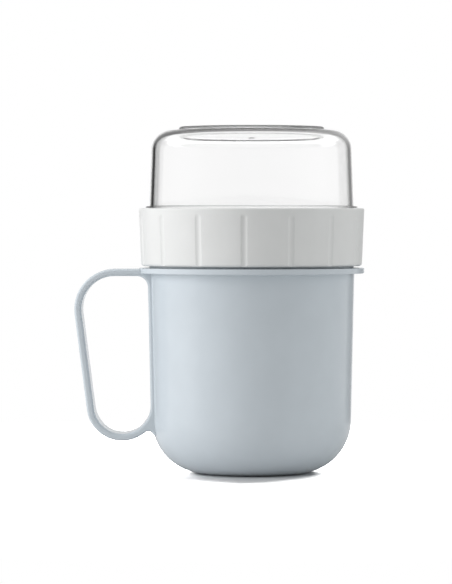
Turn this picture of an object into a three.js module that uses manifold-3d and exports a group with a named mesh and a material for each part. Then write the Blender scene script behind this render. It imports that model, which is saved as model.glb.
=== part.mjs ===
// To-go cup: a mug with a moulded loop handle, a double-sided screw lid and a clear upper cup worn as a dome.
// Millimetres, +Z up. The origin is the centre of the mug's flat base, on the axis that all pieces share.
// The handle points along -X.
import * as THREE from "three";
import { mergeVertices, toCreasedNormals } from "three/addons/utils/BufferGeometryUtils.js";
import Module from "manifold-3d";

const wasm = await Module();
wasm.setup();

// Screw threads
const THREAD_RADIUS = 47.3; // outside of the mug's neck and of the dome's mouth, without the thread
const THREAD_ROOM = 1.4; // from there to the lid's walls

// Mug
const NECK_STEP = 0.25; // the neck is set in from the wall under the flange
const MUG_DRAFT = 1.25; // degrees that the wall leans in towards the base
const MUG_WALL = 2.2; // at the foot of the wall
const MUG_FLOOR = 2.6;
const BASE_CURVE = 24; // between the wall and the flat base
const FLANGE_THICKNESS = 2.5;
const FLANGE_TOP = 94.7; // above the base
const FLANGE_EDGE = 0.5; // rounding
const NECK_WALL = 1.9;
const NECK_HEIGHT = 11.9; // above the flange
const NECK_EDGE = 0.7; // rounding of the mug's lip

// Handle: a flat band bent to a loop, drawn in the plane y = 0
const HANDLE_WIDTH = 23;
const HANDLE_THICKNESS = 3.25;
const HANDLE_EDGE = 1.2; // rounding
const HANDLE_DROP = 0.4; // top of the handle below the top of the flange
const HANDLE_FOOT = 15.2; // bottom of the handle above the base
const HANDLE_TOP_BEND = 15.3; // inside radius
const HANDLE_ROOT_FILLET = 2.3; // under the lower arm
const FINGER_GAP_TOP = 30.9; // from the wall to the limb, at the upper bend
const FINGER_GAP_FOOT = 26.2; // the same at the lower bend, which is a half circle
const FINGER_GAP_CORNER = 5.3; // fillet under the upper arm
const PAD_PROUD = 0.2; // flat strip behind the fingers, outside the wall

// Lid
const LID_WALL = 2.3; // at the lower edge of the grip ring
const LID_FLARE = 1.1; // the upper edge stands out from the lower one
const LID_STANDOFF = 0.9; // above the flange
const LID_FOOT_EDGE = 1.4; // rounding
const LID_TOP_EDGE = 0.8; // rounding
const LID_WEB = 2.2; // partition between the two cups
const LID_SOCKET = 11.2; // from the partition to the upper edge
const RIB_WALL = 1.5; // ribs that centre the two seals
const RIB_HEIGHT = 2;

// Grip grooves in the lid
const GRIP_COUNT = 15;
const GRIP_WIDTH = 3.2;
const GRIP_DEPTH = 0.4;
const GRIP_DROP = 3; // from the lid's upper edge to the top of a groove
const GRIP_START = -94.2; // degrees from +X to one of the grooves

// Seals
const SEAL_THICKNESS = 1.8;
const SEAL_MARGIN = 0.6; // past each side of the lip that it closes
const SEAL_COLLAR = 1; // wall of the collar that grips the dome's mouth
const SEAL_COLLAR_HEIGHT = 3.2;
const SEAL_EDGE = 0.4; // rounding
const SEAL_FIT = 0.3; // clearance round a seal
const SEAT_GAP = 0.2; // clearance over and under a seal, and under the dome's stop collar

// Dome
const DOME_DRAFT = 2.1; // degrees that the wall above the lid leans in
const DOME_WALL = 1.8; // and thickness of its top
const DOME_HEIGHT = 45; // from the mouth to the top of the shoulder
const DOME_SHOULDER = 9; // outside radius
const DOME_EDGE = 0.5; // rounding
const STOP_OVERLAP = 0.3; // the stop collar reaches over the lid's upper edge
const STOP_THICKNESS = 0.7;
const FOOT_INSET = 3.5; // from the shoulder's curve to the raised foot
const FOOT_HEIGHT = 1.6; // above the shoulder
const FOOT_RIM = 1.7; // width of the ring that it stands on
const PANEL_SINK = 0.3; // the panel inside the rim lies lower than it

// Faceting
const SIDES = 60; // round each revolved piece
const CHORD_ERROR = 0.13; // of an arc in an outline
const HANDLE_STEPS = 7; // per half of each bend
const HANDLE_EDGE_STEPS = 2;
const GRIP_SIDES = 24; // round a groove's cutter
const GRIP_CAP_STEPS = 4;
const CREASE = 35; // degrees: a sharper edge is shaded as an edge

// Heights and radii that follow from the sizes above
const flangeBottom = FLANGE_TOP - FLANGE_THICKNESS;
const lipTop = FLANGE_TOP + NECK_HEIGHT;
const mugRadius = THREAD_RADIUS + NECK_STEP;
const neckInside = THREAD_RADIUS - NECK_WALL;
const mouthInside = THREAD_RADIUS - DOME_WALL;
const lidInside = THREAD_RADIUS + THREAD_ROOM;
const lidFootRadius = lidInside + LID_WALL;
const lidRadius = lidFootRadius + LID_FLARE;
const sealOutside = THREAD_RADIUS + SEAL_MARGIN;
const lidSealBottom = lipTop + SEAT_GAP;
const webBottom = lidSealBottom + SEAL_THICKNESS + SEAT_GAP;
const webTop = webBottom + LID_WEB;
const domeSealBottom = webTop + SEAT_GAP;
const mouth = domeSealBottom + SEAL_THICKNESS + SEAT_GAP;
const lidBottom = FLANGE_TOP + LID_STANDOFF;
const lidEdge = webTop + LID_SOCKET;
const lidSealInside = neckInside - SEAL_MARGIN;
const collarOutside = mouthInside - SEAL_FIT;
const collarInside = collarOutside - SEAL_COLLAR;

const draftSlope = Math.tan(THREE.MathUtils.degToRad(MUG_DRAFT));

function wallRadius(z) {
  return mugRadius - (flangeBottom - z) * draftSlope;
}

// Turns corners [r, z, fillet] into points, each fillet as chords.
function outline(corners) {
  return corners.flatMap(([r, z, fillet = 0], i) => {
    const corner = new THREE.Vector2(r, z);
    if (!fillet) return [corner];
    const before = new THREE.Vector2(...corners.at(i - 1)).sub(corner).normalize();
    const after = new THREE.Vector2(...corners[(i + 1) % corners.length]).sub(corner).normalize();
    const half = before.angleTo(after) / 2;
    const centre = before.clone().add(after).setLength(fillet / Math.sin(half)).add(corner);
    const reach = fillet / Math.tan(half);
    const from = before.multiplyScalar(reach).add(corner).sub(centre);
    const to = after.multiplyScalar(reach).add(corner).sub(centre);
    const sweep = Math.sign(from.cross(to)) * (Math.PI - 2 * half);
    const steps = Math.ceil(Math.abs(sweep) / (2 * Math.acos(1 - CHORD_ERROR / fillet)));
    const origin = new THREE.Vector2();
    return Array.from({ length: steps + 1 }, (_, step) =>
      from.clone().rotateAround(origin, (sweep * step) / steps).add(centre),
    );
  });
}

function solid(geometry) {
  geometry.deleteAttribute("normal");
  geometry.deleteAttribute("uv");
  const merged = mergeVertices(geometry);
  const vertProperties = merged.getAttribute("position").array;
  const triVerts = new Uint32Array(merged.index.array);
  return new wasm.Manifold(new wasm.Mesh({ numProp: 3, vertProperties, triVerts }));
}

// Revolves an outline about the Z axis. One that doesn't start on the axis closes on itself.
function revolve(corners) {
  const profile = outline(corners);
  if (profile[0].x > 0) profile.push(profile[0].clone());
  const geometry = new THREE.LatheGeometry(profile, SIDES);
  geometry.rotateX(Math.PI / 2);
  return solid(geometry);
}

function mesh(name, body, look) {
  const { vertProperties, triVerts } = body.getMesh();
  const geometry = new THREE.BufferGeometry();
  geometry.setAttribute("position", new THREE.BufferAttribute(vertProperties, 3));
  geometry.setIndex(new THREE.BufferAttribute(triVerts, 1));
  const shaded = toCreasedNormals(geometry, THREE.MathUtils.degToRad(CREASE));
  const made = new THREE.Mesh(shaded, new THREE.MeshStandardMaterial(look));
  made.name = name;
  return made;
}

// Lower of the two points that lie at the given distances from a and from b, with b to the right of a.
function lowerCrossing(a, fromA, b, fromB) {
  const towards = b.clone().sub(a);
  const apart = towards.length();
  const along = (fromA ** 2 - fromB ** 2 + apart ** 2) / (2 * apart);
  const across = Math.sqrt(fromA ** 2 - along ** 2);
  towards.normalize();
  const down = new THREE.Vector2(towards.y, -towards.x);
  return a.clone().addScaledVector(towards, along).addScaledVector(down, across);
}

// The handle's side view is a closed band: two bends, a straight limb between them and a fillet at the root.
function handle() {
  const draft = Math.atan(draftSlope);
  const padX = (z) => -wallRadius(z) - PAD_PROUD;
  const top = FLANGE_TOP - HANDLE_DROP;
  const gapTop = top - HANDLE_THICKNESS;
  const upperOutside = HANDLE_TOP_BEND + HANDLE_THICKNESS;
  const lowerInside = FINGER_GAP_FOOT / 2;
  const lowerOutside = lowerInside + HANDLE_THICKNESS;
  const upperZ = top - upperOutside;
  const lowerZ = HANDLE_FOOT + lowerOutside;
  const upper = new THREE.Vector2(padX(upperZ) - FINGER_GAP_TOP + HANDLE_TOP_BEND, upperZ);
  const lower = new THREE.Vector2(padX(lowerZ) - lowerInside / Math.cos(draft), lowerZ);
  const bends = lower.clone().sub(upper);
  const limb = bends.angle() - Math.acos((upperOutside - lowerOutside) / bends.length());

  const baseCurve = new THREE.Vector2(BASE_CURVE - wallRadius(BASE_CURVE), BASE_CURVE);
  const rootReach = lowerOutside + HANDLE_ROOT_FILLET;
  const root = lowerCrossing(lower, rootReach, baseCurve, BASE_CURVE + HANDLE_ROOT_FILLET);
  const rootStart = root.clone().sub(lower).angle();
  const rootEnd = baseCurve.clone().sub(root).angle();

  const band = new THREE.Shape();
  band.moveTo(baseCurve.x, top);
  band.lineTo(upper.x, top);
  band.absarc(upper.x, upper.y, upperOutside, Math.PI / 2, limb, false);
  band.absarc(lower.x, lower.y, lowerOutside, limb, rootStart, false);
  band.absarc(root.x, root.y, HANDLE_ROOT_FILLET, rootStart - Math.PI, rootEnd, true);
  band.lineTo(baseCurve.x, root.y);

  const cornerZ = gapTop - FINGER_GAP_CORNER;
  const cornerX = padX(cornerZ) - FINGER_GAP_CORNER / Math.cos(draft);
  const gap = new THREE.Path();
  gap.absarc(upper.x, upper.y, HANDLE_TOP_BEND, limb, Math.PI / 2, true);
  gap.absarc(cornerX, cornerZ, FINGER_GAP_CORNER, Math.PI / 2, draft, true);
  gap.absarc(lower.x, lower.y, lowerInside, draft, limb - 2 * Math.PI, true);
  band.holes.push(gap);

  const depth = HANDLE_WIDTH - 2 * HANDLE_EDGE;
  const geometry = new THREE.ExtrudeGeometry(band, {
    depth,
    curveSegments: HANDLE_STEPS,
    bevelThickness: HANDLE_EDGE,
    bevelSize: HANDLE_EDGE,
    bevelOffset: -HANDLE_EDGE,
    bevelSegments: HANDLE_EDGE_STEPS,
  });
  geometry.rotateX(Math.PI / 2);
  geometry.translate(0, depth / 2, 0);
  return solid(geometry);
}

// The mug and its handle are one moulding. The handle is cut back where it would reach inside.
function mug() {
  const inside = [
    [neckInside, lipTop, NECK_EDGE],
    [wallRadius(0) - MUG_WALL, MUG_FLOOR, BASE_CURVE - MUG_WALL],
    [0, MUG_FLOOR],
  ];
  const shell = revolve([
    [0, 0],
    [wallRadius(0), 0, BASE_CURVE],
    [mugRadius, flangeBottom],
    [lidRadius, flangeBottom, FLANGE_EDGE],
    [lidRadius, FLANGE_TOP, FLANGE_EDGE],
    [THREAD_RADIUS, FLANGE_TOP],
    [THREAD_RADIUS, lipTop, NECK_EDGE],
    ...inside,
  ]);
  const [lip, corner, floor] = inside;
  const drink = revolve([floor, corner, lip.slice(0, 2), [0, lipTop]]);
  return shell.add(handle().subtract(drink));
}

function gripCutter(turn) {
  const radius = (GRIP_WIDTH ** 2 / 4 + GRIP_DEPTH ** 2) / (2 * GRIP_DEPTH);
  const height = lidEdge - lidBottom;
  const lean = Math.atan(LID_FLARE / height);
  const geometry = new THREE.CapsuleGeometry(radius, height, GRIP_CAP_STEPS, GRIP_SIDES);
  const endBelowGroove = radius - GRIP_WIDTH / 2;
  geometry.rotateX(Math.PI / 2);
  geometry.translate(radius - GRIP_DEPTH, 0, endBelowGroove - GRIP_DROP - radius - height / 2);
  geometry.rotateY(lean);
  geometry.translate(lidRadius, 0, lidEdge);
  geometry.rotateZ(turn);
  return solid(geometry);
}

// A ring with a partition across it. The walls beside the partition take the screw threads of both cups.
function lid() {
  const plug = lidSealInside - SEAL_FIT;
  const spigot = collarInside - SEAL_FIT;
  const ring = revolve([
    [0, webBottom],
    [plug - RIB_WALL, webBottom],
    [plug - RIB_WALL, webBottom - RIB_HEIGHT],
    [plug, webBottom - RIB_HEIGHT],
    [plug, webBottom],
    [lidInside, webBottom],
    [lidInside, lidBottom],
    [lidFootRadius, lidBottom, LID_FOOT_EDGE],
    [lidRadius, lidEdge, LID_TOP_EDGE],
    [lidInside, lidEdge],
    [lidInside, webTop],
    [spigot, webTop],
    [spigot, webTop + RIB_HEIGHT],
    [spigot - RIB_WALL, webTop + RIB_HEIGHT],
    [spigot - RIB_WALL, webTop],
    [0, webTop],
  ]);
  const first = THREE.MathUtils.degToRad(GRIP_START);
  const pitch = (2 * Math.PI) / GRIP_COUNT;
  const turns = Array.from({ length: GRIP_COUNT }, (_, i) => first + i * pitch);
  return turns.reduce((cut, turn) => cut.subtract(gripCutter(turn)), ring);
}

function lidSeal() {
  const top = lidSealBottom + SEAL_THICKNESS;
  return revolve([
    [lidSealInside, lidSealBottom, SEAL_EDGE],
    [sealOutside, lidSealBottom, SEAL_EDGE],
    [sealOutside, top, SEAL_EDGE],
    [lidSealInside, top, SEAL_EDGE],
  ]);
}

// A washer under the dome's lip, with a collar that grips the inside of its mouth.
function domeSeal() {
  const top = domeSealBottom + SEAL_THICKNESS;
  return revolve([
    [collarInside, domeSealBottom],
    [sealOutside, domeSealBottom, SEAL_EDGE],
    [sealOutside, top, SEAL_EDGE],
    [collarOutside, top],
    [collarOutside, top + SEAL_COLLAR_HEIGHT, SEAL_EDGE],
    [collarInside, top + SEAL_COLLAR_HEIGHT, SEAL_EDGE],
  ]);
}

// A cup upside down: straight inside the lid and tapered above it. A collar stops it on the lid's edge.
// The foot that it stands on is at the top, raised with the same wall, so that the inside steps up under it.
function dome() {
  const shoulder = mouth + DOME_HEIGHT;
  const footTop = shoulder + FOOT_HEIGHT;
  const panel = footTop - PANEL_SINK;
  const stopBottom = lidEdge + SEAT_GAP;
  const stopTop = stopBottom + STOP_THICKNESS;
  const stopRadius = lidInside + STOP_OVERLAP;
  const lean = Math.tan(THREE.MathUtils.degToRad(DOME_DRAFT));
  const wallAt = (z) => THREAD_RADIUS - (z - lidEdge) * lean;
  const footRadius = wallAt(shoulder) - DOME_SHOULDER - FOOT_INSET;
  const rimInside = footRadius - FOOT_RIM;
  const stepRadius = footRadius - DOME_WALL;
  const roof = shoulder - DOME_WALL;
  const ceiling = panel - DOME_WALL;
  return revolve([
    [0, ceiling],
    [stepRadius, ceiling],
    [stepRadius, roof],
    [wallAt(roof) - DOME_WALL, roof, DOME_SHOULDER - DOME_WALL],
    [mouthInside, lidEdge],
    [mouthInside, mouth, DOME_EDGE],
    [THREAD_RADIUS, mouth, DOME_EDGE],
    [THREAD_RADIUS, stopBottom],
    [stopRadius, stopBottom],
    [stopRadius, stopTop],
    [wallAt(stopTop), stopTop],
    [wallAt(shoulder), shoulder, DOME_SHOULDER],
    [footRadius, shoulder],
    [footRadius, footTop, DOME_EDGE],
    [rimInside, footTop],
    [rimInside, panel],
    [0, panel],
  ]);
}

const cup = new THREE.Group();
cup.add(
  mesh("mug", mug(), { color: 0xb9c4cd, roughness: 0.45, metalness: 0 }),
  mesh("lid_seal", lidSeal(), { color: 0xd9dcdc, roughness: 0.6, metalness: 0 }),
  mesh("lid", lid(), { color: 0xe6e6e4, roughness: 0.35, metalness: 0 }),
  mesh("dome_seal", domeSeal(), { color: 0xd9dcdc, roughness: 0.6, metalness: 0 }),
  mesh("dome", dome(), { color: 0xf4f8fa, roughness: 0.06, metalness: 0, transparent: true, opacity: 0.3 }),
);

export default cup;
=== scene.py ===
"""Looks of the to-go cup: smooth mouldings with grip grooves and threads, plastics and a white studio."""

import math
from collections import namedtuple

import bmesh
import bpy
import numpy as np
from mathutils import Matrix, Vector
from mathutils.geometry import tessellate_polygon


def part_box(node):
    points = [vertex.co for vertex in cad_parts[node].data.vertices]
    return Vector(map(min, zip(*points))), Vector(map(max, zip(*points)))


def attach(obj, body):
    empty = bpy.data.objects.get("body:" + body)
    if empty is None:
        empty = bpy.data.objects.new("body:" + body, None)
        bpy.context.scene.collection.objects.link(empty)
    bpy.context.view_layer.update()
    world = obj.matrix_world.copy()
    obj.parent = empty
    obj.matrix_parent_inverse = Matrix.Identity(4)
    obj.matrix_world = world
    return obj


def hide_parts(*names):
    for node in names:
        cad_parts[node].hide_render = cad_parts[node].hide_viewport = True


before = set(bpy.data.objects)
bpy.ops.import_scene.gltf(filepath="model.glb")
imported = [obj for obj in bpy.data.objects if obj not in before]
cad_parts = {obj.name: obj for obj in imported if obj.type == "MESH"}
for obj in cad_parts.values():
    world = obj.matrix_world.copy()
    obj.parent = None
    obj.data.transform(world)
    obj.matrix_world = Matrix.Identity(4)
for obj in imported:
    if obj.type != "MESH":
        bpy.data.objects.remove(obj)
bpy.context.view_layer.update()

MM = 0.001
TURN = 2 * math.pi

# Places and radii that the frame gives
mug_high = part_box("mug")[1]
lid_low, lid_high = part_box("lid")
dome_low, dome_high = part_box("dome")
lid_seal_low, lid_seal_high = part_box("lid_seal")
dome_seal_low, dome_seal_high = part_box("dome_seal")
flange_radius = mug_high.x
stop_radius = dome_high.x
lid_edge = lid_high.z
seal_outside = lid_seal_high.x

# Mug
NECK_HEIGHT = 11.9 * MM  # above the flange
NECK_STEP = 0.25 * MM  # the neck is set in from the wall under the flange
NECK_WALL = 1.9 * MM
NECK_EDGE = 0.7 * MM  # rounding of the lip
NECK_FILLET = 0.4 * MM  # at the foot of the neck
FLANGE_THICKNESS = 2.5 * MM
FLANGE_EDGE = 0.35 * MM  # rounding
FLANGE_FILLET = 0.2 * MM  # under the flange
MUG_WALL = 2.2 * MM
MUG_FLOOR = 2.6 * MM
MUG_DRAFT = math.tan(math.radians(1.25))  # the wall's radius grows by this much of its height
BASE_CURVE = 24 * MM  # rounding

# Handle
HANDLE_WIDTH = 23 * MM
HANDLE_THICKNESS = 3.25 * MM
HANDLE_EDGE = 1.2 * MM  # rounding
HANDLE_DROP = 0.4 * MM  # top of the handle below the top of the flange
HANDLE_FOOT = 15.2 * MM  # bottom of the handle above the base
HANDLE_TOP_BEND = 15.3 * MM  # inside radius
HANDLE_ROOT_FILLET = 2.3 * MM
HANDLE_ROOT = 1.8 * MM  # its ends reach this far into the wall
FINGER_GAP_TOP = 30.9 * MM  # width at the upper bend
FINGER_GAP_FOOT = 26.2 * MM  # width at the lower bend
FINGER_GAP_CORNER = 5.3 * MM  # rounding between the upper arm and the wall
PAD_PROUD = 0.2 * MM  # the wall's side of the gap stands out this far from the wall

# Lid
LID_FLARE = 1.1 * MM  # the upper edge's radius is larger than the foot's by this
LID_FOOT_EDGE = 1.4 * MM  # rounding
LID_TOP_EDGE = 0.8 * MM  # rounding
LID_FILLET = 0.4 * MM  # in the corners and on the inner edges
RIB_WALL = 1.5 * MM  # of the ribs that keep the seals in place
RIB_HEIGHT = 2 * MM
GRIP_COUNT = 15
GRIP_WIDTH = 3.2 * MM
GRIP_DEPTH = 0.4 * MM
GRIP_DROP = 3 * MM  # from the lid's upper edge to the top of a groove
GRIP_START = math.radians(-94.2)  # the groove that is almost in front

# Seals
SEAL_MARGIN = 0.6 * MM  # the lid's seal reaches this far inside the lip
SEAL_THICKNESS = 1.8 * MM  # of the dome's seal under the dome's lip
SEAL_COLLAR = 1 * MM  # thickness of the collar inside the dome's mouth
SEAL_EDGE = 0.4 * MM  # rounding
SEAL_FIT = 0.3 * MM  # room beside the collar and the ribs
SEAT_GAP = 0.2 * MM  # between the lid and each seal, and under the stop collar

# Dome
DOME_DRAFT = math.tan(math.radians(2.1))  # the wall's radius shrinks by this much of its height
DOME_WALL = 1.8 * MM
DOME_SHOULDER = 9 * MM  # rounding
DOME_EDGE = 0.5 * MM  # rounding
STOP_OVERLAP = 0.3 * MM  # of the stop collar and the lid's edge
STOP_THICKNESS = 0.7 * MM
STOP_EDGE = 0.2 * MM  # rounding
FOOT_INSET = 3.5 * MM  # from the rounded shoulder to the foot
FOOT_HEIGHT = 1.6 * MM
FOOT_RIM = 1.7 * MM  # width
FOOT_FILLET = 0.2 * MM
FOOT_EDGE = 0.9 * MM  # rounding
STEP_HEIGHT = 0.8 * MM  # inside, under the foot
STEP_EDGE = 0.39 * MM  # rounding
PANEL_SINK = 0.3 * MM  # the panel inside the foot's rim lies lower than it
PANEL_EDGE = 0.1 * MM  # rounding
GATE_RADIUS = 1.6 * MM  # mark that moulding leaves in the middle of the top, on both faces
GATE_DEPTH = 0.5 * MM
GATE_EDGE = 0.15 * MM  # rounding

# Screw threads: all are right-handed
THREAD_ROOM = 1.4 * MM  # from the neck and the dome's mouth to the lid's walls
THREAD_STARTS = 3
THREAD_LEAD = 12 * MM  # rise in one turn
THREAD_CREST = 0.45 * MM  # half width
THREAD_FOOT = 1.1 * MM  # half width
THREAD_OUT = 0.95 * MM  # height of the ridges on the neck and the dome
THREAD_IN = 0.65 * MM  # height of the ridges inside the lid
THREAD_FADE = math.radians(9)  # each end of a ridge runs out over this angle
NECK_THREAD = 2.1 * MM  # first ridge above the flange
NECK_THREAD_SPAN = math.radians(220)
DOME_THREAD = 1.8 * MM  # first ridge above the mouth
DOME_THREAD_SPAN = math.radians(145)
LID_THREAD_SPAN = math.radians(110)

# Fineness of the meshes
SIDES = 240
GRIP_STEPS = 12  # across a groove
LAND_STEPS = 8  # between two grooves
THREAD_STEP = 0.33 * MM  # along a threaded wall
ARC_STEP = math.radians(7.5)
SHARP = math.radians(38)  # edges with a larger angle stay crisp
WELD = 0.001 * MM  # points closer than this count as one

# Steps along the straight lines of the outlines
DISC_RUNS = 6
MUG_RUNS = 24
MUG_INSIDE_RUNS = 12
WEB_RUNS = 4
GRIP_RUNS = 40
DOME_RUNS = 8
MOUTH_RUNS = 4

# Plastics: 8-bit sRGB colours, the second in faint clouds, and the lowest and highest roughness
Finish = namedtuple("Finish", "colour cloud gloss matt")
MUG_FINISH = Finish((202, 211, 217), (199, 208, 214), 0.16, 0.22)
LID_FINISH = Finish((225, 227, 226), (222, 224, 223), 0.34, 0.46)
SEAL_FINISH = Finish((216, 219, 219), (209, 213, 213), 0.5, 0.65)
MOULDED_IOR = 1.49
CLEAR_COLOUR = (254, 254, 254)
CLEAR_ROUGHNESS = 0.03  # at most
CLEAR_IOR = 1.57
FOOT_ROUGHNESS = 0.6  # the foot is finely ground

# Noise in the plastics: the size of its features, and how much finer detail it has
Pattern = namedtuple("Pattern", "size detail")
CLOUDS = Pattern(14 * MM, 4)
PATCHES = Pattern(3 * MM, 5)  # of more and less gloss
GRAIN = Pattern(0.35 * MM, 3)  # of the mould
GRAIN_STRENGTH = 0.03
GRAIN_HEIGHT = 0.04 * MM
WAVES = Pattern(9 * MM, 1)  # in the clear plastic
WAVE_STRENGTH = 0.1
WAVE_HEIGHT = 0.02 * MM
HAZE = Pattern(5 * MM, 4)  # on the clear plastic
NOISE_LOW = 0.3  # nearly all of a noise's values lie between these two
NOISE_HIGH = 0.7

# Studio
FLOOR_RADIUS = 0.4
FLOOR_SOLID = 0.2  # where the floor starts to fade out into the background
FLOOR_SIDES = 96
FLOOR_GAP = 0.1 * MM
FLOOR_COLOUR = 0.95
BOUNCE_COLOUR = 0.8
FILL = 0.48  # light from all round that is scattered, not mirrored
KEY_COLOUR = (1, 0.98, 0.985)
WHITE = (1, 1, 1)
CUP_MIDDLE = Vector((0, 0, 0.08))

# What polished surfaces reflect: the white backdrop, darker screens beside it, and the pale room.
# Each pair is where a change starts and ends, in the part of the direction that its comment names.
BACKDROP = (0.93, 0.975)  # behind
SCREENS = (0.7, 0.73)  # behind
SCREENS_TURN = 0.05  # towards the left
SCREEN_SIDES = (0, 0.3)  # to the right
SCREEN_LEFT = 0.04
SCREEN_RIGHT = 0.25
SCREEN_RISE = (0, 0.25)  # up
SCREEN_TOP = 0.17  # added above
ROOM = (-1, 0)  # behind, so from the front to the sides
ROOM_FRONT = 0.72
ROOM_SIDES = 0.9

CAMERA = Vector((-0.0118, -1.517, 0.1173))
CAMERA_AIM = Vector((-0.0118, 0, 0.0835))
CAMERA_LENS = 202.2

# Heights and radii that follow
lip_top = mug_high.z
flange_top = lip_top - NECK_HEIGHT
flange_bottom = flange_top - FLANGE_THICKNESS
lid_inside = stop_radius - STOP_OVERLAP
thread_radius = lid_inside - THREAD_ROOM
mug_radius = thread_radius + NECK_STEP
neck_inside = thread_radius - NECK_WALL
lid_foot_radius = flange_radius - LID_FLARE
web_bottom = lid_seal_high.z + SEAT_GAP
web_top = dome_seal_low.z - SEAT_GAP
mouth_inside = thread_radius - DOME_WALL
lid_seal_inside = neck_inside - SEAL_MARGIN
collar_outside = mouth_inside - SEAL_FIT
collar_inside = collar_outside - SEAL_COLLAR
thread_pitch = THREAD_LEAD / THREAD_STARTS

# A corner of an outline. runs: steps in the straight line before it
Corner = namedtuple("Corner", "r z fillet runs", defaults=(0, 1))


def wall_radius(z):
    """Outside of the mug at a height, where the rounded base is left out."""
    return mug_radius - (flange_bottom - z) * MUG_DRAFT


def dome_radius(z):
    """Outside of the dome at a height, where its rounded shoulder is left out."""
    return thread_radius - (z - lid_edge) * DOME_DRAFT


shoulder = dome_high.z - FOOT_HEIGHT
foot_radius = dome_radius(shoulder) - DOME_SHOULDER - FOOT_INSET
rim_inside = foot_radius - FOOT_RIM


def arc(centre, radius, start, end):
    steps = math.ceil(abs(end - start) / ARC_STEP)
    angles = np.linspace(start, end, steps + 1)
    return [centre + radius * Vector((math.cos(a), math.sin(a))) for a in angles]


def rounded(corners, i):
    """The points that stand for one corner of an outline: itself, or the arc that rounds it off."""
    corner = Vector(corners[i][:2])
    fillet = corners[i].fillet
    if not fillet:
        return [corner]
    before = (Vector(corners[i - 1][:2]) - corner).normalized()
    after = (Vector(corners[(i + 1) % len(corners)][:2]) - corner).normalized()
    half = before.angle(after) / 2
    centre = corner + (before + after).normalized() * fillet / math.sin(half)
    reach = fillet / math.tan(half)
    start = corner + before * reach - centre
    end = corner + after * reach - centre
    first = math.atan2(start.y, start.x)
    sweep = math.copysign(math.pi - 2 * half, start.x * end.y - start.y * end.x)
    return arc(centre, fillet, first, first + sweep)


def outline(corners):
    groups = [rounded(corners, i) for i in range(len(corners))]
    points = []
    for i, corner in enumerate(corners):
        if corner.runs > 1:
            start, end = groups[i - 1][-1], groups[i][0]
            points += [start.lerp(end, step / corner.runs) for step in range(1, corner.runs)]
        points += groups[i]
    return points


def mesh_object(name, bm):
    bmesh.ops.remove_doubles(bm, verts=bm.verts, dist=WELD)
    bmesh.ops.recalc_face_normals(bm, faces=bm.faces)
    mesh = bpy.data.meshes.new(name)
    bm.to_mesh(mesh)
    bm.free()
    made = bpy.data.objects.new(name, mesh)
    bpy.context.scene.collection.objects.link(made)
    return made


def skin(bm, loops):
    """Quads between closed loops of vertices."""
    for near, far in zip(loops, loops[1:]):
        for i in range(len(near)):
            bm.faces.new((near[i - 1], near[i], far[i], far[i - 1]))


def revolve(name, corners, angles, relief=None):
    """Turns an outline about Z. relief gives the radius of a point from its radius, height and angle."""
    profile = np.array(outline(corners))
    radius = profile[:, :1]
    height = profile[:, 1:]
    turn = np.array(angles)[None, :]
    full = relief(radius, height, turn) if relief else radius + 0 * turn
    bm = bmesh.new()
    loops = []
    for row, (z,) in zip(full, height):
        loops.append([bm.verts.new((r * math.cos(a), r * math.sin(a), z)) for r, a in zip(row, angles)])
    if profile[0, 0] > 0:
        loops.append(loops[0])
    skin(bm, loops)
    return mesh_object(name, bm)


def even_angles():
    return [TURN * i / SIDES for i in range(SIDES)]


def smooth_step(x):
    x = np.clip(x, 0, 1)
    return x * x * (3 - 2 * x)


def thread(height, turn, first, span):
    """Share of a ridge's full height at a place on a wall: ridges that climb, with ends that run out."""
    share = 0
    for start in range(THREAD_STARTS):
        along = (turn - TURN * start / THREAD_STARTS) % TURN
        middle = first + THREAD_LEAD * along / TURN
        ends = smooth_step(along / THREAD_FADE) * smooth_step((span - along) / THREAD_FADE)
        flank = (THREAD_FOOT - np.abs(height - middle)) / (THREAD_FOOT - THREAD_CREST)
        share = np.maximum(share, ends * smooth_step(flank))
    return share


def thread_runs(length):
    return math.ceil(length / THREAD_STEP)


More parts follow.
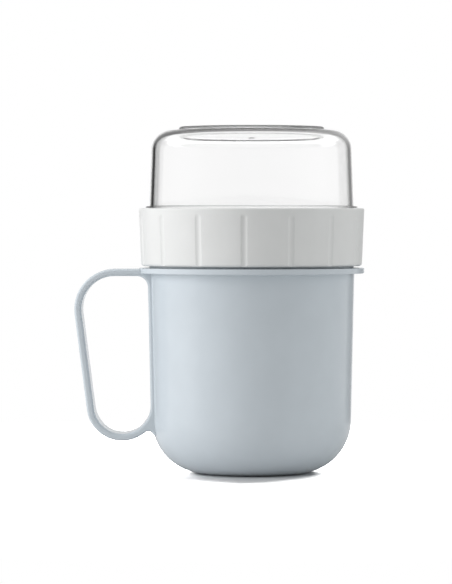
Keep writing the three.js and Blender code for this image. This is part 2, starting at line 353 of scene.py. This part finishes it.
def handle_contours(inset):
    """Outer and inner outline of the handle's side view, drawn in from its faces by an inset."""
    draft = math.atan(MUG_DRAFT)
    top = flange_top - HANDLE_DROP
    gap_top = top - HANDLE_THICKNESS

    # The two bends, and the limb that is tangent to both
    upper_outside = HANDLE_TOP_BEND + HANDLE_THICKNESS
    lower_inside = FINGER_GAP_FOOT / 2
    lower_outside = lower_inside + HANDLE_THICKNESS
    upper_z = top - upper_outside
    lower_z = HANDLE_FOOT + lower_outside
    upper = Vector((-wall_radius(upper_z) - PAD_PROUD - FINGER_GAP_TOP + HANDLE_TOP_BEND, upper_z))
    lower = Vector((-wall_radius(lower_z) - PAD_PROUD - lower_inside / math.cos(draft), lower_z))
    bends = lower - upper
    limb = math.atan2(bends.y, bends.x) % TURN - math.acos((upper_outside - lower_outside) / bends.length)

    # The fillet at the root, tangent to the lower bend and to the mug's rounded base
    base = Vector((BASE_CURVE - wall_radius(BASE_CURVE), BASE_CURVE))
    root_reach = lower_outside + HANDLE_ROOT_FILLET
    base_reach = BASE_CURVE + HANDLE_ROOT_FILLET
    apart = base - lower
    along = (root_reach**2 - base_reach**2 + apart.length_squared) / (2 * apart.length)
    across = math.sqrt(root_reach**2 - along**2)
    towards = apart.normalized()
    root = lower + towards * along + Vector((towards.y, -towards.x)) * across
    root_start = math.atan2(root.y - lower.y, root.x - lower.x) % TURN
    root_end = math.atan2(base.y - root.y, base.x - root.x)

    # From the top round the outside of the loop, and inside the mug's wall back to the top
    outer = arc(upper, upper_outside - inset, math.pi / 2, limb)
    outer += arc(lower, lower_outside - inset, limb, root_start)
    outer += arc(root, HANDLE_ROOT_FILLET + inset, root_start - math.pi, root_end)[1:]
    along_base = arc(base, BASE_CURVE, root_end + math.pi, math.pi)
    outer += [point + Vector((HANDLE_ROOT, 0)) for point in along_base]
    outer.append(Vector((HANDLE_ROOT - wall_radius(top), top - inset)))

    # Round the finger gap
    corner_z = gap_top - FINGER_GAP_CORNER
    corner = Vector((-wall_radius(corner_z) - PAD_PROUD - FINGER_GAP_CORNER / math.cos(draft), corner_z))
    inner = arc(upper, HANDLE_TOP_BEND + inset, limb, math.pi / 2)
    inner += arc(corner, FINGER_GAP_CORNER + inset, math.pi / 2, draft)
    inner += arc(lower, lower_inside + inset, draft, limb - TURN)
    return outer, inner


def handle():
    """A flat band bent to a loop, with its four long edges rounded off."""
    quarter = np.linspace(0, math.pi / 2, math.ceil(math.pi / 2 / ARC_STEP) + 1)
    rings = []
    for a in quarter:
        rings.append((HANDLE_EDGE * (1 - math.sin(a)), HANDLE_WIDTH / 2 - HANDLE_EDGE * (1 - math.cos(a))))
    rings += [(inset, -y) for inset, y in reversed(rings)]
    bm = bmesh.new()
    near_side = []
    far_side = []
    for which in range(2):
        loops = []
        for inset, y in rings:
            loops.append([bm.verts.new((x, y, z)) for x, z in handle_contours(inset)[which]])
        skin(bm, loops)
        far_side.append(loops[0])
        near_side.append(loops[-1])
    for side in (far_side, near_side):
        corners = side[0] + side[1]
        for triangle in tessellate_polygon([[corner.co for corner in loop] for loop in side]):
            bm.faces.new([corners[i] for i in triangle])
    return mesh_object("handle", bm)


def join(target, other):
    """Joins another object to the target, and removes it."""
    step = target.modifiers.new("join", "BOOLEAN")
    step.operation = "UNION"
    step.solver = "EXACT"
    step.object = other
    graph = bpy.context.evaluated_depsgraph_get()
    old = target.data
    target.data = bpy.data.meshes.new_from_object(target.evaluated_get(graph))
    target.modifiers.clear()
    bpy.data.meshes.remove(old)
    bpy.data.meshes.remove(other.data)


def mug():
    """The mug, its neck with the thread, and its handle are one moulding."""
    corners = [
        Corner(0, 0),
        Corner(wall_radius(0), 0, BASE_CURVE, DISC_RUNS),
        Corner(mug_radius, flange_bottom, FLANGE_FILLET, MUG_RUNS),
        Corner(flange_radius, flange_bottom, FLANGE_EDGE),
        Corner(flange_radius, flange_top, FLANGE_EDGE),
        Corner(thread_radius, flange_top, NECK_FILLET),
        Corner(thread_radius, lip_top, NECK_EDGE, thread_runs(NECK_HEIGHT)),
        Corner(neck_inside, lip_top, NECK_EDGE),
        Corner(wall_radius(0) - MUG_WALL, MUG_FLOOR, BASE_CURVE - MUG_WALL, MUG_INSIDE_RUNS),
        Corner(0, MUG_FLOOR, 0, DISC_RUNS),
    ]

    def relief(radius, height, turn):
        ridges = THREAD_OUT * thread(height, turn, flange_top + NECK_THREAD, NECK_THREAD_SPAN)
        return radius + ridges * np.isclose(radius, thread_radius, atol=WELD)

    made = revolve("mug_moulding", corners, even_angles(), relief)
    join(made, handle())
    return made


def grip_angles():
    """Angles round the lid, close together across each groove."""
    half = GRIP_WIDTH / 2 / lid_foot_radius
    pitch = TURN / GRIP_COUNT
    across = np.linspace(-half, half, GRIP_STEPS + 1)
    land = np.linspace(half, pitch - half, LAND_STEPS + 1)[1:-1]
    local = np.concatenate([across, land])
    return np.concatenate([GRIP_START + i * pitch + local for i in range(GRIP_COUNT)])


def groove_depth(height, turn):
    """Depth of the grip grooves: round-bottomed, with a round upper end, open at the lower edge."""
    radius = (GRIP_WIDTH**2 / 4 + GRIP_DEPTH**2) / (2 * GRIP_DEPTH)
    pitch = TURN / GRIP_COUNT
    aside = ((turn - GRIP_START + pitch / 2) % pitch - pitch / 2) * lid_foot_radius
    above = np.maximum(height - (lid_edge - GRIP_DROP - GRIP_WIDTH / 2), 0)
    reach = np.minimum(aside**2 + above**2, radius**2)
    return np.maximum(GRIP_DEPTH - radius + np.sqrt(radius**2 - reach), 0)


def lid():
    """A ring with a partition across it, a thread on each side of the partition and a rib for each seal."""
    plug = lid_seal_inside - SEAL_FIT
    spigot = collar_inside - SEAL_FIT
    plug_bottom = web_bottom - RIB_HEIGHT
    spigot_top = web_top + RIB_HEIGHT
    corners = [
        Corner(0, web_bottom),
        Corner(plug - RIB_WALL, web_bottom, LID_FILLET, WEB_RUNS),
        Corner(plug - RIB_WALL, plug_bottom, LID_FILLET),
        Corner(plug, plug_bottom, LID_FILLET),
        Corner(plug, web_bottom, LID_FILLET),
        Corner(lid_inside, web_bottom, LID_FILLET),
        Corner(lid_inside, lid_low.z, LID_FILLET, thread_runs(web_bottom - lid_low.z)),
        Corner(lid_foot_radius, lid_low.z, LID_FOOT_EDGE),
        Corner(flange_radius, lid_edge, LID_TOP_EDGE, GRIP_RUNS),
        Corner(lid_inside, lid_edge, LID_FILLET / 2),
        Corner(lid_inside, web_top, LID_FILLET, thread_runs(lid_edge - web_top)),
        Corner(spigot, web_top, LID_FILLET),
        Corner(spigot, spigot_top, LID_FILLET),
        Corner(spigot - RIB_WALL, spigot_top, LID_FILLET),
        Corner(spigot - RIB_WALL, web_top, LID_FILLET),
        Corner(0, web_top, 0, WEB_RUNS),
    ]

    def relief(radius, height, turn):
        wall = lid_foot_radius + LID_FLARE * (height - lid_low.z) / (lid_edge - lid_low.z)
        cut = np.minimum(radius, wall - groove_depth(height, turn))
        half_pitch = thread_pitch / 2
        lower = thread(height, turn, flange_top + NECK_THREAD + half_pitch, LID_THREAD_SPAN)
        upper = thread(height, turn, dome_low.z + DOME_THREAD + half_pitch, LID_THREAD_SPAN)
        return cut - THREAD_IN * np.maximum(lower, upper) * np.isclose(radius, lid_inside, atol=WELD)

    return revolve("lid_moulding", corners, grip_angles(), relief)


def lid_seal():
    low, high = lid_seal_low.z, lid_seal_high.z
    corners = [
        Corner(lid_seal_inside, low, SEAL_EDGE),
        Corner(seal_outside, low, SEAL_EDGE),
        Corner(seal_outside, high, SEAL_EDGE),
        Corner(lid_seal_inside, high, SEAL_EDGE),
    ]
    return revolve("lid_seal_ring", corners, even_angles())


def dome_seal():
    """A washer under the dome's lip, with a collar inside its mouth."""
    low, high = dome_seal_low.z, dome_seal_high.z
    washer_top = low + SEAL_THICKNESS
    corners = [
        Corner(collar_inside, low, SEAL_EDGE),
        Corner(seal_outside, low, SEAL_EDGE),
        Corner(seal_outside, washer_top, SEAL_EDGE),
        Corner(collar_outside, washer_top),
        Corner(collar_outside, high, SEAL_EDGE),
        Corner(collar_inside, high, SEAL_EDGE),
    ]
    return revolve("dome_seal_ring", corners, even_angles())


def dome():
    """A clear cup upside down, with a thread at its mouth, a stop collar, and its foot on top."""
    panel = dome_high.z - PANEL_SINK
    roof = shoulder - DOME_WALL
    ceiling = roof + STEP_HEIGHT
    stop_bottom = lid_edge + SEAT_GAP
    stop_top = stop_bottom + STOP_THICKNESS
    step_radius = foot_radius - DOME_WALL
    corners = [
        Corner(0, ceiling - GATE_DEPTH),
        Corner(GATE_RADIUS - GATE_DEPTH, ceiling - GATE_DEPTH, GATE_EDGE),
        Corner(GATE_RADIUS, ceiling, GATE_EDGE),
        Corner(step_radius, ceiling, STEP_EDGE, DISC_RUNS),
        Corner(step_radius, roof, STEP_EDGE),
        Corner(dome_radius(roof) - DOME_WALL, roof, DOME_SHOULDER - DOME_WALL),
        Corner(mouth_inside, lid_edge, 0, DOME_RUNS),
        Corner(mouth_inside, dome_low.z, DOME_EDGE, MOUTH_RUNS),
        Corner(thread_radius, dome_low.z, DOME_EDGE),
        Corner(thread_radius, stop_bottom, 0, thread_runs(stop_bottom - dome_low.z)),
        Corner(stop_radius, stop_bottom, STOP_EDGE),
        Corner(stop_radius, stop_top, STOP_EDGE),
        Corner(dome_radius(stop_top), stop_top, STOP_EDGE),
        Corner(dome_radius(shoulder), shoulder, DOME_SHOULDER, DOME_RUNS),
        Corner(foot_radius, shoulder, FOOT_FILLET),
        Corner(foot_radius, dome_high.z, FOOT_EDGE),
        Corner(rim_inside, dome_high.z, PANEL_EDGE),
        Corner(rim_inside, panel, PANEL_EDGE),
        Corner(GATE_RADIUS, panel, GATE_EDGE, DISC_RUNS),
        Corner(GATE_RADIUS - GATE_DEPTH, panel - GATE_DEPTH, GATE_EDGE),
        Corner(0, panel - GATE_DEPTH),
    ]

    def relief(radius, height, turn):
        ridges = THREAD_OUT * thread(height, turn, dome_low.z + DOME_THREAD, DOME_THREAD_SPAN)
        return radius + ridges * np.isclose(radius, thread_radius, atol=WELD)

    return revolve("dome_moulding", corners, even_angles(), relief)


def srgb(red, green, blue):
    """Linear colour from 8-bit sRGB values, by the curve that sRGB defines."""
    shares = [value / 255 for value in (red, green, blue)]
    linear = [s / 12.92 if s <= 0.04045 else ((s + 0.055) / 1.055) ** 2.4 for s in shares]
    return (*linear, 1)


def add_node(tree, kind, inputs=None, **settings):
    """A new node, with its settings and with its inputs set or linked, by name or by number."""
    made = tree.nodes.new(kind)
    for name, value in settings.items():
        setattr(made, name, value)
    for name, value in (inputs or {}).items():
        if isinstance(value, bpy.types.NodeSocket):
            tree.links.new(value, made.inputs[name])
        else:
            made.inputs[name].default_value = value
    return made


def new_material(name):
    made = bpy.data.materials.new(name)
    made.use_nodes = True
    made.node_tree.nodes.clear()
    return made, made.node_tree


def noise(tree, pattern):
    place = add_node(tree, "ShaderNodeTexCoord").outputs["Object"]
    inputs = {"Vector": place, "Scale": 1 / pattern.size, "Detail": pattern.detail}
    return add_node(tree, "ShaderNodeTexNoise", inputs).outputs["Fac"]


def varied(tree, pattern, low, high):
    """A value that a noise moves from low to high."""
    inputs = {
        "Value": noise(tree, pattern),
        "From Min": NOISE_LOW,
        "From Max": NOISE_HIGH,
        "To Min": low,
        "To Max": high,
    }
    return add_node(tree, "ShaderNodeMapRange", inputs).outputs["Result"]


def bumped(tree, pattern, strength, height):
    """Normals of a surface with a noise as its relief."""
    inputs = {"Height": noise(tree, pattern), "Strength": strength, "Distance": height}
    return add_node(tree, "ShaderNodeBump", inputs).outputs["Normal"]


def blended(tree, share, first, second):
    """A mix of two colours, which are a mix node's inputs 6 and 7."""
    made = add_node(tree, "ShaderNodeMix", {0: share, 6: first, 7: second}, data_type="RGBA")
    return made.outputs[2]


def mixed(tree, share, first, second):
    """A mix of two values, which are a mix node's inputs 2 and 3."""
    return add_node(tree, "ShaderNodeMix", {0: share, 2: first, 3: second}).outputs[0]


def calculated(tree, operation, first, second):
    return add_node(tree, "ShaderNodeMath", {0: first, 1: second}, operation=operation).outputs[0]


def faded(tree, value, start, end, low=0.0, high=1.0):
    """Low before the start and high after the end, with a smooth change between them."""
    limits = {"Value": value, "From Min": start, "From Max": end, "To Min": low, "To Max": high}
    return add_node(tree, "ShaderNodeMapRange", limits, interpolation_type="SMOOTHSTEP").outputs["Result"]


def length(tree, vector):
    return add_node(tree, "ShaderNodeVectorMath", {0: vector}, operation="LENGTH").outputs["Value"]


def show(tree, shader):
    add_node(tree, "ShaderNodeOutputMaterial", {"Surface": shader.outputs[0]})


def moulded_plastic(name, finish):
    """Satin plastic: faint clouds in its colour, uneven gloss, and the fine grain of the mould."""
    made, tree = new_material(name)
    clouds = varied(tree, CLOUDS, 0, 1)
    shader = add_node(
        tree,
        "ShaderNodeBsdfPrincipled",
        {
            "Base Color": blended(tree, clouds, srgb(*finish.colour), srgb(*finish.cloud)),
            "Roughness": varied(tree, PATCHES, finish.gloss, finish.matt),
            "IOR": MOULDED_IOR,
            "Normal": bumped(tree, GRAIN, GRAIN_STRENGTH, GRAIN_HEIGHT),
        },
    )
    show(tree, shader)
    return made


def clear_plastic():
    """Polished clear plastic, with the slight unevenness of a moulded surface and a finely ground foot."""
    made, tree = new_material("dome_clear")
    place = add_node(tree, "ShaderNodeTexCoord").outputs["Object"]
    height = add_node(tree, "ShaderNodeSeparateXYZ", {0: place}).outputs["Z"]
    flat = add_node(tree, "ShaderNodeVectorMath", {0: place, 1: (1, 1, 0)}, operation="MULTIPLY")
    away = length(tree, flat.outputs[0])
    raised = faded(tree, height, shoulder, dome_high.z - FOOT_HEIGHT / 2)
    ground = faded(tree, away, rim_inside - PANEL_EDGE, rim_inside, 0, FOOT_ROUGHNESS)
    ground = calculated(tree, "MULTIPLY", raised, ground)
    haze = varied(tree, HAZE, 0, CLEAR_ROUGHNESS)
    shader = add_node(
        tree,
        "ShaderNodeBsdfPrincipled",
        {
            "Base Color": srgb(*CLEAR_COLOUR),
            "Roughness": calculated(tree, "MAXIMUM", haze, ground),
            "IOR": CLEAR_IOR,
            "Transmission Weight": 1,
            "Normal": bumped(tree, WAVES, WAVE_STRENGTH, WAVE_HEIGHT),
        },
    )
    show(tree, shader)
    return made


def finish_piece(piece, node, material):
    """Smooth shading with crisp edges, a material, and the node that the piece stands for."""
    piece.data.shade_smooth()
    piece.data.set_sharp_from_angle(angle=SHARP)
    piece.data.materials.clear()
    piece.data.materials.append(material)
    shading = piece.modifiers.new("shading", "WEIGHTED_NORMAL")
    shading.keep_sharp = True
    lit.objects.link(piece)
    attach(piece, node)
    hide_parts(node)


def seen_directly(tree):
    """1 for what the camera sees straight or through the clear plastic, without a reflection on the way."""
    path = add_node(tree, "ShaderNodeLightPath").outputs
    bounces = calculated(tree, "ADD", path["Diffuse Depth"], path["Glossy Depth"])
    clean = calculated(tree, "LESS_THAN", bounces, 1)
    through = calculated(tree, "MULTIPLY", path["Is Transmission Ray"], clean)
    return calculated(tree, "MAXIMUM", path["Is Camera Ray"], through)


def white_world():
    world = bpy.data.worlds.new("studio")
    bpy.context.scene.world = world
    world.use_nodes = True
    tree = world.node_tree
    tree.nodes.clear()
    direction = add_node(tree, "ShaderNodeTexCoord").outputs["Generated"]
    right, behind, up = add_node(tree, "ShaderNodeSeparateXYZ", {0: direction}).outputs
    screen = faded(tree, right, *SCREEN_SIDES, SCREEN_LEFT, SCREEN_RIGHT)
    screen = calculated(tree, "ADD", screen, faded(tree, up, *SCREEN_RISE, 0, SCREEN_TOP))
    turned = calculated(tree, "SUBTRACT", behind, calculated(tree, "MULTIPLY", right, SCREENS_TURN))
    room = faded(tree, behind, *ROOM, ROOM_FRONT, ROOM_SIDES)
    room = mixed(tree, faded(tree, turned, *SCREENS), room, screen)
    surroundings = mixed(tree, faded(tree, behind, *BACKDROP), room, 1.0)
    path = add_node(tree, "ShaderNodeLightPath").outputs
    polished = calculated(tree, "MAXIMUM", path["Is Glossy Ray"], path["Is Transmission Ray"])
    strength = mixed(tree, seen_directly(tree), mixed(tree, polished, FILL, surroundings), 1.0)
    white = add_node(tree, "ShaderNodeBackground", {"Color": (*WHITE, 1), "Strength": strength})
    add_node(tree, "ShaderNodeOutputWorld", {"Surface": white.outputs[0]})


def floor(name, depth, shade, pictured):
    """A round floor that fades out. One is in the picture, and one under it returns light to the cup."""
    bm = bmesh.new()
    bmesh.ops.create_circle(bm, cap_ends=True, radius=FLOOR_RADIUS, segments=FLOOR_SIDES)
    bmesh.ops.translate(bm, verts=bm.verts, vec=(0, 0, -depth))
    made = mesh_object(name, bm)
    material, tree = new_material(name)
    place = add_node(tree, "ShaderNodeTexCoord").outputs["Object"]
    paint = add_node(tree, "ShaderNodeBsdfDiffuse", {"Color": (shade, shade, shade, 1)})
    gone = add_node(tree, "ShaderNodeBsdfTransparent")
    edge = faded(tree, length(tree, place), FLOOR_SOLID, FLOOR_RADIUS)
    show(tree, add_node(tree, "ShaderNodeMixShader", {0: edge, 1: paint.outputs[0], 2: gone.outputs[0]}))
    made.data.materials.append(material)
    made.visible_camera = pictured
    made.visible_transmission = pictured
    made.visible_diffuse = not pictured
    made.visible_glossy = not pictured
    made.visible_shadow = not pictured
    (picture if pictured else lit).objects.link(made)


def softbox(name, receivers, azimuth, elevation, width, height, power, distance=1.0, colour=WHITE):
    """A large soft lamp. Azimuth 0 is on the camera's side and 90 to the right, in degrees."""
    data = bpy.data.lights.new(name, "AREA")
    data.shape = "RECTANGLE"
    data.size = width
    data.size_y = height
    data.energy = power
    data.color = colour
    lamp = bpy.data.objects.new(name, data)
    a, e = math.radians(azimuth), math.radians(elevation)
    away = Vector((math.sin(a) * math.cos(e), -math.cos(a) * math.cos(e), math.sin(e)))
    lamp.location = CUP_MIDDLE + away * distance
    lamp.rotation_euler = away.to_track_quat("Z", "Y").to_euler()
    lamp.light_linking.receiver_collection = receivers
    lamp.visible_camera = False
    lamp.visible_glossy = False
    lamp.visible_transmission = False
    bpy.context.scene.collection.objects.link(lamp)


def camera():
    data = bpy.data.cameras.new("camera")
    data.lens = CAMERA_LENS
    made = bpy.data.objects.new("camera", data)
    made.location = CAMERA
    made.rotation_euler = (CAMERA - CAMERA_AIM).to_track_quat("Z", "Y").to_euler()
    bpy.context.scene.collection.objects.link(made)
    bpy.context.scene.camera = made


# The cup's lamps light what is in the first collection, and the floor's lamps what is in the second
lit = bpy.data.collections.new("lit")
picture = bpy.data.collections.new("picture")

mug_plastic = moulded_plastic("mug_plastic", MUG_FINISH)
lid_plastic = moulded_plastic("lid_plastic", LID_FINISH)
seal_silicone = moulded_plastic("seal_silicone", SEAL_FINISH)
finish_piece(mug(), "mug", mug_plastic)
finish_piece(lid_seal(), "lid_seal", seal_silicone)
finish_piece(lid(), "lid", lid_plastic)
finish_piece(dome_seal(), "dome_seal", seal_silicone)
clear_dome = dome()
clear_dome.visible_shadow = False  # the lamps light the lid through it
finish_piece(clear_dome, "dome", clear_plastic())

bpy.context.scene.view_settings.view_transform = "Standard"
white_world()
floor("floor", FLOOR_GAP, FLOOR_COLOUR, pictured=True)
floor("floor_bounce", 2 * FLOOR_GAP, BOUNCE_COLOUR, pictured=False)
softbox("key", lit, azimuth=-78, elevation=12, width=0.5, height=0.9, power=7.6, colour=KEY_COLOUR)
softbox("side", lit, azimuth=82, elevation=12, width=0.4, height=0.9, power=2)
softbox("top", lit, azimuth=0, elevation=88, width=0.5, height=0.5, power=3)

# Each of these two alone makes the floor white, so it is shaded only where the cup hides most of both
softbox("floor_left", picture, azimuth=-139, elevation=20, width=1, height=0.5, power=160, distance=1.5)
softbox("floor_right", picture, azimuth=145, elevation=30, width=1, height=0.5, power=110, distance=1.5)
camera()
